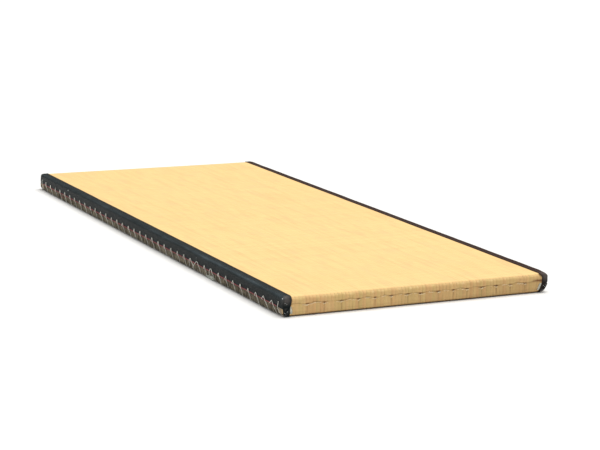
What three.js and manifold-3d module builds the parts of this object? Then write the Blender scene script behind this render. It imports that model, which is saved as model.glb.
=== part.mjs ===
// A tatami mat: a straw core, a woven rush facing folded over both short ends, and a dark cloth
// border along each long side that turns down over the corners.
// Millimetres. X runs across the mat, Y along it, Z up. The origin is under the middle of the mat.

import * as THREE from "three";
import { mergeVertices } from "three/addons/utils/BufferGeometryUtils.js";
import Module from "manifold-3d";

const wasm = await Module();
wasm.setup();

// Overall size
const HALF_WIDTH = 401;
const HALF_LENGTH = 1001;
const HEIGHT = 55;
const EDGE_RADIUS = 10; // top edges and upright corners
const CORNER_POWER = 4; // upright corners are superellipses, tighter than a circle
const END_FOOT_RADIUS = 7; // bottom edge of the short ends
const SIDE_FOOT_RADIUS = 2.5; // bottom edge of the long sides

// Layers, as depths below the outer surface
const GAP = 0.3;
const BORDER_THICKNESS = 1.2;
const RUSH_UNDER_BORDER = 1.8;
const RUSH_DEPTH = BORDER_THICKNESS + GAP;
const RUSH_INNER_DEPTH = RUSH_DEPTH + RUSH_UNDER_BORDER;
const CORE_DEPTH = RUSH_INNER_DEPTH + GAP;
const CORE_SIDE_DEPTH = BORDER_THICKNESS + GAP;

// Border
const BORDER_INNER_X = 377.5; // where its folded edge lies on the rush facing
const BORDER_LOWER_Z = 21; // its lower edge on the long side
const BORDER_WRAP_Y = 998; // its lower edge at a corner turns up here
const BORDER_WRAP_X = 388; // the open part below its lower edge reaches in as far as this
const BORDER_UNDER_Y = 985; // it turns this far under the mat at the corners
const BORDER_SEGMENTS = 36; // along the straight part of the long side
const BORDER_WAVE = 0.3;
const BORDER_WAVES = [
  { length: 173, share: 0.6, phase: 0.4 },
  { length: 389, share: 0.4, phase: 1.9 },
];

// Rush facing
const RUSH_EDGE_X = 377.2; // it is pressed down under the border from here on
const RUSH_PROUD = 0.8; // how far the free facing stands above the pressed one
const PROUD_STEP = 1.2;
const RUSH_UNDER_Y = 950; // it is turned under the mat as far as this
const TAB_Y = 966; // at each corner it turns round onto the long side as far as this
const TAB_TOP_Z = 20;
const TAB_SIDE_X = 390;
const PAST_WIDTH = HALF_WIDTH + 2 * EDGE_RADIUS; // cutters reach past the mat as far as this
const PAST_LENGTH = HALF_LENGTH + 2 * EDGE_RADIUS;
const PAST_HEIGHT = 1;

// Seam across each short end, with a sunk stitch at each place
const SEAM_Z = 30.5;
const SEAM_HALF_HEIGHT = 4.5;
const SEAM_DEPTH = 0.9;
const SEAM_WAVE = 1.4;
const SEAM_WAVE_LENGTH = 212;
const STITCH_X = [-332, -282, -232, -182, -132, -84, -35, 5, 59, 106, 149, 195, 241, 286, 332];
const STITCH_SPREAD = 9; // the facing is flat again this far beside a stitch
const STITCH_DIMPLE = { depth: 0.8, radius: 6 };
const STITCH_CREASE = { depth: 0.4, radius: 4.5 };

// Ends of the paper backing that show between a border and the rush facing
const PAPER = { innerX: 369.3, lowZ: 8, highZ: 27, outerDepth: 0.6, thickness: 0.6 };
const PAPER_BAY = { innerX: 369, lowZ: END_FOOT_RADIUS, highZ: SEAM_Z - SEAM_HALF_HEIGHT };

const SIDES = [
  { name: "left", sign: -1 },
  { name: "right", sign: 1 },
];
const ENDS = [
  { name: "near", sign: -1 },
  { name: "far", sign: 1 },
];

// How far each long side leans out (or tucks in, below zero) at each height, and the same at its corners
const SIDE_LEAN = [
  { z: 0, left: 0, leftCorner: -5, right: 0, rightCorner: -10 },
  { z: 7, left: 0, leftCorner: -1.5, right: 0, rightCorner: -6 },
  { z: 14, left: 0, leftCorner: 0, right: 0.5, rightCorner: -1 },
  { z: 21, left: 0.3, leftCorner: 0.5, right: 1.5, rightCorner: 4 },
  { z: 30.5, left: 1.2, leftCorner: 1, right: 3.5, rightCorner: 7 },
  { z: 45, left: 0.6, leftCorner: 0, right: 3.5, rightCorner: 6.5 },
  { z: HEIGHT, left: 0, leftCorner: 0, right: 2, rightCorner: 4 },
];
const LEAN_FROM_X = 340;
const LEAN_FROM_Y = 930;
const CORNER_PLANES_Y = [LEAN_FROM_Y, RUSH_UNDER_Y, TAB_Y, 980];

const ARC_STEP = Math.tan(Math.PI / 8); // two segments on each side of an edge's diagonal

const { clamp, lerp } = THREE.MathUtils;

// Height, width and length planes that every layer shares, so that their facets stay parallel.
function heightPlanes(lowest, depth) {
  const foot = END_FOOT_RADIUS - ARC_STEP * (END_FOOT_RADIUS - lowest);
  const shoulder = HEIGHT - EDGE_RADIUS;
  const middle = SIDE_LEAN.map((row) => row.z).filter((z) => z >= END_FOOT_RADIUS && z <= shoulder);
  const seam = [SEAM_Z - SEAM_HALF_HEIGHT, SEAM_Z + SEAM_HALF_HEIGHT];
  const planes = [...middle, ...seam].sort((a, b) => a - b);
  return [lowest, foot, ...planes, shoulder + ARC_STEP * (EDGE_RADIUS - depth), HEIGHT - depth];
}

function edgePlanes(half, depth) {
  const start = half - EDGE_RADIUS;
  return [start, start + ARC_STEP * (EDGE_RADIUS - depth), half - depth];
}

function mirrored(planes) {
  return [...planes.map((p) => -p).reverse(), ...planes];
}

function evenPlanes(from, to, count) {
  return Array.from({ length: count + 1 }, (_, i) => lerp(from, to, i / count));
}

function lengthPlanes(depth) {
  return mirrored([...CORNER_PLANES_Y, ...edgePlanes(HALF_LENGTH, depth)]);
}

// How far the side at (x, z) leans out, between the middle of the mat (0) and a corner (1).
function leanAt(x, z, towardsCorner) {
  const next = Math.max(1, SIDE_LEAN.findIndex((row) => row.z >= z));
  const [low, high] = [SIDE_LEAN[next - 1], SIDE_LEAN[next]];
  const upwards = (z - low.z) / (high.z - low.z);
  const side = x < 0 ? "left" : "right";
  const middle = lerp(low[side], high[side], upwards);
  const corner = lerp(low[`${side}Corner`], high[`${side}Corner`], upwards);
  return lerp(middle, corner, towardsCorner);
}

function share(value, from, to) {
  return clamp((value - from) / (to - from), 0, 1);
}

// The rounded, leaning place of a point given on the plain block, raised by lift along the surface's normal.
function placed(x, y, z, lift = 0) {
  const towardsCorner = share(Math.abs(y), LEAN_FROM_Y, HALF_LENGTH - EDGE_RADIUS);
  const footRadius = lerp(SIDE_FOOT_RADIUS, END_FOOT_RADIUS, towardsCorner);
  const inner = new THREE.Vector3(
    clamp(x, EDGE_RADIUS - HALF_WIDTH, HALF_WIDTH - EDGE_RADIUS),
    clamp(y, EDGE_RADIUS - HALF_LENGTH, HALF_LENGTH - EDGE_RADIUS),
    clamp(z, footRadius, HEIGHT - EDGE_RADIUS),
  );
  const radii = new THREE.Vector3(EDGE_RADIUS, EDGE_RADIUS, z < inner.z ? footRadius : EDGE_RADIUS);
  const away = new THREE.Vector3(x, y, z).sub(inner).divide(radii);
  const reach = Math.max(Math.abs(away.x), Math.abs(away.y), Math.abs(away.z));
  const level = (Math.abs(away.x) ** CORNER_POWER + Math.abs(away.y) ** CORNER_POWER) ** (1 / CORNER_POWER);
  if (reach > 0) away.multiplyScalar((reach + lift / EDGE_RADIUS) / Math.hypot(level, away.z));
  const point = inner.add(away.multiply(radii));
  const towardsSide = share(Math.abs(x), LEAN_FROM_X, HALF_WIDTH - EDGE_RADIUS);
  point.x += Math.sign(x) * towardsSide * leanAt(x, z, towardsCorner);
  return point;
}

// A closed block with a grid line at each plane, each of its points moved by place(x, y, z).
function block(xPlanes, yPlanes, zPlanes, place) {
  const counts = [xPlanes.length - 1, yPlanes.length - 1, zPlanes.length - 1];
  const geometry = new THREE.BoxGeometry(1, 1, 1, ...counts);
  const positions = geometry.attributes.position;
  const planeOf = (planes, value) => planes[Math.round((value + 0.5) * (planes.length - 1))];
  for (let i = 0; i < positions.count; i += 1) {
    const x = planeOf(xPlanes, positions.getX(i));
    const y = planeOf(yPlanes, positions.getY(i));
    const z = planeOf(zPlanes, positions.getZ(i));
    positions.setXYZ(i, ...place(x, y, z).toArray());
  }
  return solidOf(geometry);
}

function solidOf(geometry) {
  geometry.deleteAttribute("normal");
  geometry.deleteAttribute("uv");
  const merged = mergeVertices(geometry);
  return new wasm.Manifold(
    new wasm.Mesh({
      numProp: 3,
      vertProperties: merged.attributes.position.array,
      triVerts: new Uint32Array(merged.index.array),
    }),
  );
}

// A plain box between two corners, for cutting.
function cutter(low, high) {
  const size = high.map((value, i) => value - low[i]);
  const centre = high.map((value, i) => (value + low[i]) / 2);
  return solidOf(new THREE.BoxGeometry(...size).translate(...centre));
}

function meshOf(name, solid, material) {
  const { vertProperties, triVerts } = solid.getMesh();
  const geometry = new THREE.BufferGeometry();
  geometry.setAttribute("position", new THREE.BufferAttribute(new Float32Array(vertProperties), 3));
  geometry.setIndex(new THREE.BufferAttribute(new Uint32Array(triVerts), 1));
  geometry.computeVertexNormals();
  const mesh = new THREE.Mesh(geometry, material);
  mesh.name = name;
  return mesh;
}

// The straw core fills the facing. It carries the border on the long sides and shows below it.
function strawCore() {
  const ends = block(
    mirrored([LEAN_FROM_X, ...edgePlanes(HALF_WIDTH, CORE_DEPTH)]),
    lengthPlanes(CORE_DEPTH),
    heightPlanes(CORE_DEPTH, CORE_DEPTH),
    placed,
  );
  const lowered = GAP / 2; // keeps the two blocks' tops from lying in one plane
  const middle = block(
    mirrored([LEAN_FROM_X, ...edgePlanes(HALF_WIDTH, CORE_SIDE_DEPTH)]),
    mirrored([LEAN_FROM_Y, RUSH_UNDER_Y, TAB_Y - 2 * GAP]),
    heightPlanes(0, CORE_DEPTH + lowered),
    placed,
  );
  const turnedUnder = ENDS.map(({ sign }) => {
    const near = sign * (RUSH_UNDER_Y - GAP);
    const far = sign * PAST_LENGTH;
    return cutter(
      [-PAST_WIDTH, Math.min(near, far), -PAST_HEIGHT],
      [PAST_WIDTH, Math.max(near, far), CORE_DEPTH + lowered],
    );
  });
  return turnedUnder.reduce((core, cut) => core.subtract(cut), middle).add(ends);
}

// How far the free rush facing stands above the pressed one at a point of its outer surface.
function rushLift(x, y, z) {
  const onEnd = Math.abs(y) > HALF_LENGTH - EDGE_RADIUS;
  const inBay = onEnd && z >= PAPER_BAY.lowZ && z <= PAPER_BAY.highZ;
  const edge = inBay ? PAPER_BAY.innerX : RUSH_EDGE_X;
  if (Math.abs(x) >= edge) return 0;
  return RUSH_PROUD - (onEnd ? seamSink(x, z) : 0);
}

// How far the seam, its stitches and the creases under them draw the facing in.
function seamSink(x, z) {
  const off = Math.min(...STITCH_X.map((stitch) => Math.abs(x - stitch)));
  const dimple = STITCH_DIMPLE.depth * Math.exp(-((off / STITCH_DIMPLE.radius) ** 2));
  const crease = STITCH_CREASE.depth * Math.exp(-((off / STITCH_CREASE.radius) ** 2));
  if (z === SEAM_Z) return SEAM_DEPTH + dimple;
  return z > END_FOOT_RADIUS && z < SEAM_Z ? crease : 0;
}

function rushPlace(x, y, z) {
  const point = placed(x, y, z, rushLift(x, y, z));
  const onSeam = Math.abs(y) > HALF_LENGTH - EDGE_RADIUS && Math.abs(z - SEAM_Z) <= SEAM_HALF_HEIGHT;
  const free = share(PAPER_BAY.innerX - Math.abs(x), 0, SEAM_WAVE_LENGTH / 4);
  if (onSeam) point.z += SEAM_WAVE * free * Math.sin((2 * Math.PI * x) / SEAM_WAVE_LENGTH);
  return point;
}

// The rush facing covers the top, folds down both short ends and turns under, with a tab at each corner.
function rushFacing() {
  const stitchPlanes = STITCH_X.flatMap((x) => [x - STITCH_SPREAD, x, x + STITCH_SPREAD]);
  const bay = [PAPER_BAY.innerX - PROUD_STEP, PAPER_BAY.innerX];
  const side = [...bay, RUSH_EDGE_X - PROUD_STEP, RUSH_EDGE_X, ...edgePlanes(HALF_WIDTH, RUSH_DEPTH)];
  const outer = block(
    [...side.map((x) => -x).reverse(), ...stitchPlanes, ...side],
    lengthPlanes(RUSH_DEPTH),
    heightPlanes(RUSH_DEPTH, RUSH_DEPTH),
    rushPlace,
  );
  const inner = block(
    mirrored([LEAN_FROM_X, ...edgePlanes(HALF_WIDTH, RUSH_INNER_DEPTH)]),
    lengthPlanes(RUSH_INNER_DEPTH),
    heightPlanes(RUSH_INNER_DEPTH, RUSH_INNER_DEPTH),
    placed,
  );
  const openUnderside = cutter(
    [-PAST_WIDTH, -RUSH_UNDER_Y, -PAST_HEIGHT],
    [PAST_WIDTH, RUSH_UNDER_Y, END_FOOT_RADIUS],
  );
  const cuts = SIDES.flatMap(({ sign }) => {
    const [low, high] = sign < 0 ? [-PAST_WIDTH, -TAB_SIDE_X] : [TAB_SIDE_X, PAST_WIDTH];
    return [
      cutter([low, -PAST_LENGTH, TAB_TOP_Z], [high, PAST_LENGTH, HEIGHT + PAST_HEIGHT]),
      cutter([low, -TAB_Y, -PAST_HEIGHT], [high, TAB_Y, HEIGHT + PAST_HEIGHT]),
    ];
  });
  return [inner, openUnderside, ...cuts].reduce((sheet, cut) => sheet.subtract(cut), outer);
}

// Slow waves along the outer face of a border, as hand-drawn cloth has.
function borderWave(y) {
  const wave = (row) => row.share * Math.sin((2 * Math.PI * y) / row.length + row.phase);
  return BORDER_WAVE * BORDER_WAVES.reduce((sum, row) => sum + wave(row), 0);
}

// One border: side is -1 for the left one and 1 for the right one.
function border(side) {
  const across = (planes) => (side < 0 ? planes.map((x) => -x).reverse() : planes);
  const straight = evenPlanes(-LEAN_FROM_Y, LEAN_FROM_Y, BORDER_SEGMENTS);
  const end = [...CORNER_PLANES_Y.slice(1), ...edgePlanes(HALF_LENGTH, 0)];
  const outer = block(
    across([BORDER_INNER_X, ...edgePlanes(HALF_WIDTH, 0)]),
    [...end.map((y) => -y).reverse(), ...straight, ...end],
    heightPlanes(0, 0),
    (x, y, z) => placed(x, y, z, Math.abs(y) < LEAN_FROM_Y && z > 0 ? borderWave(side * y) : 0),
  );
  const inner = block(
    across([LEAN_FROM_X, ...edgePlanes(HALF_WIDTH, BORDER_THICKNESS)]),
    lengthPlanes(BORDER_THICKNESS),
    heightPlanes(BORDER_THICKNESS, BORDER_THICKNESS),
    placed,
  );
  const past = (from) => (side < 0 ? [-PAST_WIDTH, -from] : [from, PAST_WIDTH]);
  const [lowX, highX] = past(LEAN_FROM_X);
  const [lowSideX, highSideX] = past(BORDER_WRAP_X);
  const belowMiddle = cutter(
    [lowX, -BORDER_UNDER_Y, -PAST_HEIGHT],
    [highX, BORDER_UNDER_Y, BORDER_LOWER_Z],
  );
  const belowSide = cutter(
    [lowSideX, -BORDER_WRAP_Y, -PAST_HEIGHT],
    [highSideX, BORDER_WRAP_Y, BORDER_LOWER_Z],
  );
  return outer.subtract(inner).subtract(belowMiddle).subtract(belowSide);
}

// The end of the paper backing that shows beside a border on a short end.
function paperEnd(side, end) {
  const xs = [PAPER.innerX, BORDER_INNER_X - GAP].map((x) => side * x).sort((a, b) => a - b);
  const depths = [PAPER.outerDepth + PAPER.thickness, PAPER.outerDepth];
  const ys = depths.map((depth) => end * (HALF_LENGTH - depth)).sort((a, b) => a - b);
  const between = SIDE_LEAN.map((row) => row.z).filter((z) => z > PAPER.lowZ && z < PAPER.highZ);
  return block(xs, ys, [PAPER.lowZ, ...between, PAPER.highZ], placed);
}

const strawMaterial = new THREE.MeshStandardMaterial({ color: 0x75695a, roughness: 0.95, metalness: 0 });
const rushMaterial = new THREE.MeshStandardMaterial({ color: 0xd9b97c, roughness: 0.7, metalness: 0 });
const clothMaterial = new THREE.MeshStandardMaterial({ color: 0x33383c, roughness: 0.85, metalness: 0 });
const paperMaterial = new THREE.MeshStandardMaterial({ color: 0xd2cab2, roughness: 0.9, metalness: 0 });

const mat = new THREE.Group();
mat.add(meshOf("straw_core", strawCore(), strawMaterial));
mat.add(meshOf("rush_facing", rushFacing(), rushMaterial));
for (const side of SIDES) {
  mat.add(meshOf(`border_${side.name}`, border(side.sign), clothMaterial));
  for (const end of ENDS) {
    mat.add(meshOf(`paper_${end.name}_${side.name}`, paperEnd(side.sign, end.sign), paperMaterial));
  }
}

export default mat;
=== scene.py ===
"""Dresses the tatami mat: woven rush facing, cloth borders, straw core, stitches and seams.

Sizes are the CAD source's, in millimetres; meshes are turned into metres when they are made. As in the
source, a point is given on the surface of a plain block, and placed() moves it to its place on the
rounded, leaning mat.
"""

import math

import bpy
import numpy as np
from mathutils import Matrix, Vector


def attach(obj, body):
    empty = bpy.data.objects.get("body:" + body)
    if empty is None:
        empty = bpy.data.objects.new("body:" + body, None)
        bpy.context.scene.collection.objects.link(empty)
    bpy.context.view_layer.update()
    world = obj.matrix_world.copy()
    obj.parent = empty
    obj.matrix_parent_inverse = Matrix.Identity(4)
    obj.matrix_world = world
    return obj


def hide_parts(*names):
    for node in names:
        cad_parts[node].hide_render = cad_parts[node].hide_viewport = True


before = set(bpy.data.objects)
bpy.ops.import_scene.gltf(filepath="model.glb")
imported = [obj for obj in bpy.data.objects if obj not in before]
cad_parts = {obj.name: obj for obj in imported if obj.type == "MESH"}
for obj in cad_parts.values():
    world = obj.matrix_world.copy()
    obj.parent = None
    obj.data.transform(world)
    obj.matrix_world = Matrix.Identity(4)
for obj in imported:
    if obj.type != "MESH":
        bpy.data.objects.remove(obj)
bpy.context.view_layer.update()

MM = 0.001
SIDES = {"left": -1, "right": 1}
ENDS = {"near": -1, "far": 1}

# Block
HALF_WIDTH = 401
HALF_LENGTH = 1001
HEIGHT = 55
EDGE_RADIUS = 10
CORNER_POWER = 4
END_FOOT_RADIUS = 7
SIDE_FOOT_RADIUS = 2.5
FLAT_X = HALF_WIDTH - EDGE_RADIUS
FLAT_Y = HALF_LENGTH - EDGE_RADIUS
FLAT_Z = HEIGHT - EDGE_RADIUS

# How far each long side leans out at each height, and the same at its corners
LEAN_HEIGHTS = [0, 7, 14, 21, 30.5, 45, 55]
LEAN_LEFT = [0, 0, 0, 0.3, 1.2, 0.6, 0]
LEAN_LEFT_CORNER = [-5, -1.5, 0, 0.5, 1, 0, 0]
LEAN_RIGHT = [0, 0, 0.5, 1.5, 3.5, 3.5, 2]
LEAN_RIGHT_CORNER = [-10, -6, -1, 4, 7, 6.5, 4]
LEAN_FROM_X = 340
LEAN_FROM_Y = 930

# Layers, as lifts of a surface above the block's
BORDER_THICKNESS = 1.2
RUSH_LIFT = -0.7
RUSH_PRESSED_LIFT = -1.6
RUSH_THICKNESS = 1.6
PAPER_LIFT = -0.7
PAPER_THICKNESS = 0.5
CORE_TOP_LIFT = -3.6
CORE_SIDE_LIFT = -1.7
CORE_UNDER_LIFT = -3.0
FLOOR_CLEARANCE = 0.02

# Rush facing
RIB_PITCH = 10.5
RIB_COUNT = 72
RIB_STEPS = 6
RIB_HEIGHT = {"top": 0.35, "above_seam": 1.0, "below_seam": 0.55}
RIB_DRIFT = 1.6
EDGE_SOFTENED = 2.6
RUSH_UNDER_Y = 950
STRAND_PITCH = 1.9
ARC_ROWS = 5
TAB_Y = 966
TAB_TOP_Z = 20
TAB_UNDER_X = 388

# Seam across each short end: a sunk stitch at each place, and the crease rises between two stitches
STITCH_X = [-332, -282, -232, -182, -132, -84, -35, 5, 59, 106, 149, 195, 241, 286, 332]
SEAM_Z = 31
SEAM_RISE = 3.6
SEAM_DEPTH = 0.9
SEAM_STITCH_DEPTH = 1.3
SEAM_HOLE_DEPTH = 1.2
PILLOW_RISE = 1.1
LOWER_PILLOW_RISE = 0.6
FRAYED_X = 345
FRAYED_COUNT = 100

# Borders
BORDER_INNER_X = 377.5
BORDER_LOWER_Z = 21
BORDER_UNDER_Y = 985
BORDER_STEP = 4
FOLD_TOP_Z = 26
TWILL_PITCH = 1.1
# Where a border's inner edge runs on a short end, at each height
INNER_EDGE_HEIGHTS = [0, 5, 10, 22, 30, 43, 50, 55]
INNER_EDGE_LEFT = [389, 386, 382.5, 382, 379, 377, 377.5, 377.5]
INNER_EDGE_RIGHT = [381, 383, 383.8, 382.3, 382, 382, 379.5, 377]

# Bay beside each border on the short ends, where the facing is pressed in and the paper shows
BAY_WIDTH = 10.2
BAY_FOOT_Z = 6.5
BAY_TOP_Z = 28
PAPER_FOOT_Z = 8
PAPER_TOP_Z = 27
PAPER_WIDEST = {"left": 6.2, "right": 7.6}

# Sewing along the long sides
WHIP_FIRST_Y = 933.5
WHIP_PITCH = 50.4
WHIP_COUNT = 38
WHIP_TOP_Z = 31.5
WHIP_RADIUS = 0.75
RED_Z = 22.6
RED_RADIUS = 1.1
RED_TAIL_RADIUS = 0.9
RED_END_Y = 962
EDGE_STITCH_END_Y = 950
EDGE_STITCH_PITCH = 16.5
EDGE_STITCH_RADIUS = 0.8
# The few whip stitches on the left side that are wider and rounder, by their number from the far end:
# how far each leg reaches, the height of the top, how far back the foot is and how far that leg stands off
WIDE_LOOPS = {
    26: {"back": 9, "down": 25, "top": 30.0, "foot": 13, "lift": 0.9},
    27: {"back": 19, "down": 24, "top": 30.5, "foot": 41, "lift": 3.0},
    29: {"back": 13, "down": 18, "top": 30.5, "foot": 19.5, "lift": 0.9},
}

# Sewing elsewhere
SEAM_TWINE_RADIUS = 0.8
QUILT_X = 360
QUILT_Y = 930
QUILT_ROW_PITCH = 40
QUILT_STITCH_PITCH = 30
QUILT_TWINE_RADIUS = 0.7

# Straws on the long sides, and a tuft of chaff at the bottom edge of the left one
STRAW_COUNT = 1150
STRAW_END_Y = 963
TUFT_COUNT = 90
TUFT_FAR_Y = -512
TUFT_THICKEST_Y = -545
TUFT_NEAR_Y = -553

# Specks of lint: on the left side with the place along the mat, or on the near end with the place
# across it, then the height and the radius
LINT_PLACES = [
    ("side", -995, 48.6, 0.8),
    ("side", 700, 45.0, 0.8),
    ("end", -395.5, 36.7, 0.3),
    ("end", -391.0, 33.6, 0.3),
    ("end", -397.0, 11.0, 0.45),
    ("end", -390.7, 14.5, 0.4),
    ("end", 393.0, 17.0, 0.45),
    ("end", 388.5, 19.5, 0.4),
    ("side", -420, 41.0, 0.35),
]

# Colours, as linear red, green and blue; where there are two, they run from dark to light
STRAW = ((0.07, 0.056, 0.038), (0.34, 0.29, 0.205))
STRAW_STAIN = (0.10, 0.075, 0.05)
SIDE_STRAW = ((0.075, 0.06, 0.04), (0.46, 0.40, 0.29))
CHAFF = ((0.28, 0.28, 0.23), (0.72, 0.74, 0.66))
TWINE = ((0.31, 0.29, 0.24), (0.90, 0.88, 0.80))
EDGE_TWINE = ((0.10, 0.085, 0.065), (0.50, 0.46, 0.38))
SEAM_TWINE = ((0.62, 0.45, 0.22), (0.95, 0.80, 0.52))
RED_COTTON = ((0.24, 0.06, 0.065), (0.46, 0.15, 0.155))
LINT = ((0.5, 0.52, 0.5), (0.85, 0.9, 0.88))
PAPER = ((0.50, 0.49, 0.40), (0.78, 0.74, 0.62))
FLOOR = ((0.76, 0.76, 0.76), (0.79, 0.79, 0.79))
RUSH = ((0.76, 0.475, 0.18), (0.98, 0.70, 0.305))
RUSH_TINTS = {
    "pale": (0.76, 0.57, 0.25),
    "tan": (0.80, 0.49, 0.23),
    "warm": (0.80, 0.44, 0.185),
    "olive": (0.64, 0.50, 0.17),
    # Spots of painted highlight on the top fold of each short end
    "bright": (1.0, 0.76, 0.38),
    "green": (0.56, 0.46, 0.19),
    # Painted shade between the ribs and the strands
    "gaps": (0.30, 0.17, 0.055),
    # Painted shade in the creases and seams, over the short ends and beside the borders
    "crease": (0.215, 0.09, 0.027),
    "dust": (0.36, 0.32, 0.255),
    # Painted shade along the bottom edge, where the mat meets the floor
    "soil": (0.11, 0.045, 0.018),
}
BORDER = ((0.0035, 0.0062, 0.0055), (0.0125, 0.0170, 0.0165))
BORDER_TINTS = {
    "brown": (0.050, 0.021, 0.013),
    # Painted highlight along the left border's shoulder and on the corner ridges
    "rubbed": (0.150, 0.19, 0.215),
    # Lighter corner knobs, partly faded cloth and partly painted highlight, and painted highlight on the
    # folds' ridges
    "faded": (0.19, 0.165, 0.155),
    "fluff": (0.16, 0.17, 0.16),
    # Painted shade in the twill's gaps
    "gaps": (0.008, 0.009, 0.01),
}

# Camera: place in metres, and azimuth, pitch and roll in degrees
CAMERA_PLACE = (-2.492, -5.414, 1.214)
CAMERA_TURN = (25.81, 11.22, 1.06)
CAMERA_LENS = 116.46
CAMERA_SENSOR = 36
CAMERA_FAR = 100

# Light: a pale world, and a soft sun whose angle is in degrees
WORLD_COLOUR = (0.95, 0.98, 1.0, 1.0)
WORLD_STRENGTH = 0.36
SUN_COLOUR = (1.0, 0.98, 0.94)
SUN_STRENGTH = 3.6
SUN_TOWARDS = (-0.22, -0.13, -1.0)
SUN_ANGLE = 50
FLOOR_REACH = 30000

# Random draws: a seed for each piece, and the size of the lattice that noise is drawn on
SEEDS = {
    "side_straws": 51,
    "loose_bit": 52,
    "whip_stitches": 61,
    "edge_stitches": 62,
    "red_thread": 63,
    "end_stitches": 71,
    "underside_rows": 72,
}
LATTICE = 256


# Numbers and noise


def ramp(value, low, high):
    """0 up to low, 1 from high on, and even between them."""
    return np.clip((value - low) / (high - low), 0.0, 1.0)


def mix(a, b, share):
    return a + (b - a) * share


def hump(distance, radius):
    """1 at no distance, fading smoothly to nothing at about two radii."""
    return np.exp(-((distance / radius) ** 2))


def eased(share):
    return share * share * (3 - 2 * share)


def off_nearest(value, places):
    """Distance to the nearest of the places."""
    return np.min([np.abs(value - place) for place in places], axis=0)


def noise_sheet(a, b, size_a, size_b, seed):
    """Smooth noise from -1 to 1 over two coordinates, with features of about the given sizes."""
    lattice = np.random.default_rng(seed).uniform(-1, 1, (LATTICE, LATTICE))
    a, b = np.broadcast_arrays(np.asarray(a, float) / size_a, np.asarray(b, float) / size_b)
    i, j = np.floor(a).astype(int), np.floor(b).astype(int)
    u, v = eased(a - i), eased(b - j)

    def corner(di, dj):
        return lattice[(i + di) % LATTICE, (j + dj) % LATTICE]

    return mix(mix(corner(0, 0), corner(1, 0), u), mix(corner(0, 1), corner(1, 1), u), v)


def noise_line(a, size, seed):
    """Smooth noise from -1 to 1 over one coordinate."""
    return noise_sheet(a, 0.5, size, 1.0, seed)


# The block's shape


def lean_at(x, z, towards_corner):
    left, left_corner, right, right_corner = (
        np.interp(z, LEAN_HEIGHTS, leans)
        for leans in (LEAN_LEFT, LEAN_LEFT_CORNER, LEAN_RIGHT, LEAN_RIGHT_CORNER)
    )
    return mix(np.where(x < 0, left, right), np.where(x < 0, left_corner, right_corner), towards_corner)


def placed(x, y, z, lift=0.0):
    """Rounded, leaning places of points on the block's surface, raised by lift along its normal."""
    x, y, z, lift = np.broadcast_arrays(*(np.asarray(v, float) for v in (x, y, z, lift)))
    towards_corner = ramp(np.abs(y), LEAN_FROM_Y, FLAT_Y)
    foot = mix(SIDE_FOOT_RADIUS, END_FOOT_RADIUS, towards_corner)
    inner = [np.clip(x, -FLAT_X, FLAT_X), np.clip(y, -FLAT_Y, FLAT_Y), np.clip(z, foot, FLAT_Z)]
    radii = [EDGE_RADIUS, EDGE_RADIUS, np.where(z < inner[2], foot, EDGE_RADIUS)]
    away = [(p - q) / r for p, q, r in zip((x, y, z), inner, radii)]
    reach = np.maximum.reduce([np.abs(a) for a in away])
    level = (np.abs(away[0]) ** CORNER_POWER + np.abs(away[1]) ** CORNER_POWER) ** (1 / CORNER_POWER)
    length = np.hypot(level, away[2])
    stretch = (reach + lift / EDGE_RADIUS) / np.maximum(length, 1e-9)
    point = [q + a * stretch * r for q, a, r in zip(inner, away, radii)]
    towards_side = ramp(np.abs(x), LEAN_FROM_X, FLAT_X)
    point[0] = point[0] + np.sign(x) * towards_side * lean_at(x, z, towards_corner)
    return np.stack(point, axis=-1)


def side_point(side, y, z, lift):
    return placed(side * HALF_WIDTH, y, z, lift)


def side_path(side, y, rows):
    """Points on a long side, from rows that give the place along the mat from y, the height and the lift."""
    ahead, z, lift = np.transpose(rows)
    return side_point(side, y + ahead, z, lift)


def arc_shares(count):
    """Shares of a radius that divide half a quarter turn evenly, from 0 to 1."""
    return np.tan(np.linspace(0, math.pi / 4, count + 1))


def bent(flat, count):
    """Places out to a rounded edge of the block from where the flat face ends."""
    return flat + EDGE_RADIUS * arc_shares(count)


def foot_heights(count):
    """Heights from the floor up the rounded foot of a short end."""
    return END_FOOT_RADIUS * (1 - arc_shares(count)[::-1])


def both_ways(planes):
    """Planes from 0 outwards, mirrored to both signs."""
    planes = np.asarray(planes, float)
    return np.unique(np.concatenate([-planes, planes]))


def inner_edge(x, y, z):
    """Where the border's inner edge runs, from the mat's middle, at points on or near a short end."""
    left = np.interp(z, INNER_EDGE_HEIGHTS, INNER_EDGE_LEFT)
    right = np.interp(z, INNER_EDGE_HEIGHTS, INNER_EDGE_RIGHT)
    on_end = ramp(np.abs(y), FLAT_Y, FLAT_Y + EDGE_RADIUS / 2)
    near_left_kind = np.sign(x) == np.sign(y)
    return mix(BORDER_INNER_X, np.where(near_left_kind, left, right), on_end)


# Meshes


def new_object(name, data):
    """An object in the scene."""
    obj = bpy.data.objects.new(name, data)
    bpy.context.scene.collection.objects.link(obj)
    return obj


def dressed(obj, material, slot_name, *nodes):
    """A finished piece, given its material and the CAD nodes that it stands for, attached to the root body.
    slot_name is not used.
    """
    obj.data.materials.append(material)
    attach(obj, "root")
    if nodes:
        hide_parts(*nodes)
    return obj


def make_object(name, points, faces, uv=None, **values):
    """A smooth mesh object from points in millimetres; values become named point attributes."""
    points = np.array(points, float)
    points[:, 2] = np.maximum(points[:, 2], FLOOR_CLEARANCE)
    mesh = bpy.data.meshes.new(name)
    mesh.from_pydata((points * MM).tolist(), [], faces)
    mesh.shade_smooth()
    if uv is not None:
        corner_points = np.empty(len(mesh.loops), np.int32)
        mesh.loops.foreach_get("vertex_index", corner_points)
        layer = mesh.uv_layers.new(name="cloth")
        layer.data.foreach_set("uv", (np.asarray(uv, np.float32)[corner_points] * MM).ravel())
    for key, value in values.items():
        attribute = mesh.attributes.new(key, "FLOAT", "POINT")
        attribute.data.foreach_set("value", np.asarray(value, np.float32))
    mesh.validate()
    return new_object(name, mesh)


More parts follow.
